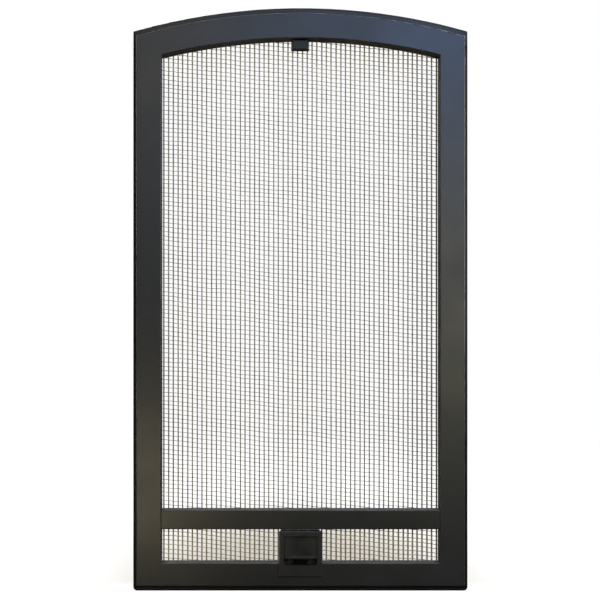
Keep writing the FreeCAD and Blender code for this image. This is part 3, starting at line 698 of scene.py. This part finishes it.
def pan_screw(length):
    """One screw along Y: its head's seat is at 0 and its shank runs to -length."""
    point = length - 0.0012
    dome = [(head_radius * math.cos(a), head_height * (0.42 + 0.58 * math.sin(a)))
            for a in (0.0, 0.25, 0.5, 0.8, 1.15)]
    profile = [(0, -length), (shank_radius * 0.35, -length), (shank_radius, -point),
               (shank_radius, -0.0001), (head_radius * 0.97, 0.0), (head_radius, 0.00008),
               *dome, (0, head_height)]
    screw = shaped("pan_screw", lathe(profile, 28))
    cutter = shaped("cross_cutter", cross_cutter(head_height))
    carve = screw.modifiers.new("recess", "BOOLEAN")
    carve.operation = "DIFFERENCE"
    carve.solver = "EXACT"
    carve.object = cutter
    bpy.context.view_layer.update()
    graph = bpy.context.evaluated_depsgraph_get()
    mesh = bpy.data.meshes.new_from_object(screw.evaluated_get(graph), depsgraph=graph)
    bpy.data.objects.remove(screw)
    bpy.data.objects.remove(cutter)
    return bpy.data.objects.new("pan_screw_master", mesh)


def screw_set_tree():
    """One screw at each point of a mesh, each turned to its own angle about its axis."""
    tree = bpy.data.node_groups.new("screw_set", "GeometryNodeTree")
    tree.interface.new_socket("Mesh", in_out="OUTPUT", socket_type="NodeSocketGeometry")
    tree.interface.new_socket("Places", in_out="INPUT", socket_type="NodeSocketGeometry")
    tree.interface.new_socket("Screw", in_out="INPUT", socket_type="NodeSocketObject")
    tree.interface.new_socket("Seed", in_out="INPUT", socket_type="NodeSocketInt")
    tree.interface.new_socket("Screw finish", in_out="INPUT", socket_type="NodeSocketMaterial")
    nodes = Nodes(tree)
    gate = tree.nodes.new("NodeGroupInput")
    given = {socket.name: Field(nodes, socket) for socket in gate.outputs if socket.name}
    master = nodes.add("GeometryNodeObjectInfo", {}, {"Object": given["Screw"]}, "Geometry")
    turn = nodes.add("FunctionNodeRandomValue", {"data_type": "FLOAT"}, {
        2: 0.0, 3: math.tau, "Seed": given["Seed"],
    }, 1)
    rotation = nodes.add("ShaderNodeCombineXYZ", {}, {0: 0.0, 1: turn, 2: 0.0})
    screws = nodes.add("GeometryNodeInstanceOnPoints", {}, {
        "Points": given["Places"], "Instance": master, "Rotation": rotation,
    })
    screws = nodes.add("GeometryNodeRealizeInstances", {}, {"Geometry": screws})
    screws = nodes.add("GeometryNodeSetMaterial", {}, {
        "Geometry": screws, "Material": given["Screw finish"],
    })
    nodes.add("NodeGroupOutput", {}, {0: screws})
    return tree


def screw_places(node, apart=0.009):
    """The axis of each screw in a CAD group, where its head seats.

    A latch screw is longer from corner to corner than apart, so its vertices can fall into two groups.
    The lower two latch screws come out 4.5 mm too high because of that."""
    groups = []
    for vertex in nodes_of_cad[node].data.vertices:
        for group in groups:
            if (group[0] - vertex.co).length < apart:
                group.append(vertex.co)
                break
        else:
            groups.append([vertex.co])
    seats = []
    for group in groups:
        xs = [co.x for co in group]
        zs = [co.z for co in group]
        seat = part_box(node)[1].y - head_height
        seats.append(((min(xs) + max(xs)) / 2, seat, (min(zs) + max(zs)) / 2))
    return seats


def screw_finish():
    """Black oxide over steel, with bright metal where a driver has bitten."""
    material, nodes = new_finish("screw_black_oxide")
    place = nodes.add("ShaderNodeTexCoord", {}, {}, "Object")
    _, y, _ = nodes.axes(place)
    fine = noise(nodes, place, 1800, 3.0)
    cloud = noise(nodes, place, 240, 2.0).rise(0.35, 0.65)
    coat = nodes.tint(cloud, shade(0.085, 0.085, 0.090), shade(0.150, 0.146, 0.142))
    bitten = noise(nodes, place, 900, 2.0).rise(0.52, 0.66)
    coat = nodes.tint(bitten * 0.55, coat, shade(0.30, 0.29, 0.28))
    gloss = 0.30 + fine * 0.2 + cloud * 0.08
    skin = nodes.add("ShaderNodeBump", {}, {"Strength": 0.3, "Distance": 0.00003, "Height": fine})
    close_finish(nodes, Base_Color=coat, Roughness=gloss, Metallic=0.85, Normal=skin)
    return material


screw_tree = screw_set_tree()
oxide = screw_finish()
screw_groups = (  # CAD group, length, seed
    ("retainer_screws", 0.006, 3), ("crossbar_strip_screws", 0.006, 5),
    ("bracket_screws", 0.006, 7), ("latch_screws", 0.007, 9),
)
for node, length, seed in screw_groups:
    master = pan_screw(length)
    places = bpy.data.meshes.new(node + "_places")
    places.from_pydata(screw_places(node), [], [])
    screws = grown(node + "_set", places, screw_tree, {
        "Screw": master, "Seed": seed, "Screw finish": oxide,
    })
    bpy.data.objects.remove(master)
    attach(screws, "screen")
    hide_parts(node)
for node in ("crossbar_screws", "lug_screw"):
    dress(node, oxide)


# ---- Latch case and thumb slide ----
# Die-cast zinc in a finer, flatter black than the frame: a plate with a window, and in it a scooped
# pad with a raised lip that a fingertip pulls down. Handling has polished the lip and the pad.
case_low, case_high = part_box("latch_body")
pad_low, pad_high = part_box("thumb_slide")
band_face = frame_low.y


def latch_finish(name, dark, light, low, high, handled, painted_top_shadow):
    """Fine-textured black, polished by handling towards the middle of the piece, with near-black matt
    painted as shade in its depths and, where asked, as a painted shadow along its top edge."""
    material, nodes = new_finish(name)
    place = nodes.add("ShaderNodeTexCoord", {}, {}, "Object")
    x, y, z = nodes.axes(place)
    drift = noise(nodes, place, 40, 3.0).rise(0.3, 0.7)
    grain = noise(nodes, place, 5200, 2.0, 0.7)
    pebble = noise(nodes, place, 1500, 2.0)
    coat = nodes.tint(drift * 0.7 + pebble * 0.3, dark, light)
    edge = (x - low.x).least(high.x - x).least(z - low.z).least(high.z - z)
    ragged = (noise(nodes, place, 320, 3.0) - 0.5) * 0.0008
    worn = (1 - (edge + ragged).rise(0.0, 0.0006)) * (1 - (y - low.y).rise(0.0, 0.0012))
    coat = nodes.tint(worn * 0.45, coat, shade(0.10, 0.10, 0.10))
    across = abs(x) / ((high.x - low.x) / 2)
    touched = (1 - across.rise(0.2, 0.9)) * noise(nodes, place, 130, 2.0).rise(0.35, 0.65) * handled
    # painted shade: near-black matt on whatever lies deeper than just behind the band's face, and a
    # painted shadow along the top edge
    deep = (y - (band_face + 0.0006)).rise(0.0, 0.0006)
    painted_depth_shade = deep.most((z - (high.z - 0.0024)).rise(0.0, 0.0012) * painted_top_shadow)
    gloss = 0.44 + (pebble - 0.5) * 0.14 - touched * 0.14 - worn * 0.12
    height = pebble * 0.5 + grain * 0.5
    skin = nodes.add("ShaderNodeBump", {}, {"Strength": 0.4, "Distance": 0.00005, "Height": height})
    close_finish(nodes, painted_depth_shade * 0.85, Base_Color=coat, Roughness=gloss, Normal=skin)
    return material


dress("latch_body", latch_finish(
    "latch_case_black", shade(0.0095, 0.0095, 0.0095), shade(0.0135, 0.0135, 0.0135),
    case_low, case_high, handled=0.4, painted_top_shadow=0.0,
))
dress("thumb_slide", latch_finish(
    "thumb_slide_black", shade(0.009, 0.009, 0.0095), shade(0.013, 0.013, 0.0135),
    pad_low, pad_high, handled=1.0, painted_top_shadow=1.0,
))


# ---- Bolt, spring and rivets ----
# A stepped bolt blanked from steel strip, rubbed bright where it slides and painted with near-black shade
# above that, a leaf spring that clicks it in place, and the rivets that hold them. Rolling marks run along
# the strip.
def steel_finish(name, light, along_z, bright_below):
    """Steel, bright below a height (metres) where it slides, with near-black matt painted above it as
    shade.
    """
    material, nodes = new_finish(name)
    place = nodes.add("ShaderNodeTexCoord", {}, {}, "Object")
    stretch = (1400, 1400, 60) if along_z else (700, 700, 700)
    drawn = nodes.add("ShaderNodeMapping", {}, {"Vector": place, "Scale": stretch})
    streak = noise(nodes, drawn, 1.0, 4.0, 0.6)
    bloom = noise(nodes, place, 160, 3.0).rise(0.4, 0.7)
    coat = nodes.tint(streak, shade(0.42, 0.42, 0.41), light)
    coat = nodes.tint(bloom * 0.3, coat, shade(0.50, 0.47, 0.40))
    _, _, z = nodes.axes(place)
    # painted shade: near-black matt above the rubbed height
    painted_shade_above = (z + (bloom - 0.5) * 0.002).rise(bright_below - 0.001, bright_below + 0.001)
    gloss = 0.26 + streak * 0.14 + bloom * 0.12
    skin = nodes.add("ShaderNodeBump", {}, {"Strength": 0.2, "Distance": 0.00002, "Height": streak})
    close_finish(nodes, painted_shade_above, Base_Color=coat, Roughness=gloss, Metallic=1.0, Normal=skin)
    return material


rubbed_height = 0.012  # the bolt is bright below this and carries painted shade above it
all_bright = 1.0
rolled = steel_finish("bolt_steel", shade(0.66, 0.66, 0.65), True, rubbed_height)
sprung = steel_finish("spring_steel", shade(0.62, 0.61, 0.60), True, all_bright)
pressed = steel_finish("rivet_steel", shade(0.60, 0.60, 0.60), False, all_bright)
dress("bolt_tongue", rolled)
dress("detent_spring", sprung)
for node in ("bolt_rivets", "detent_rivet"):
    dress(node, pressed)
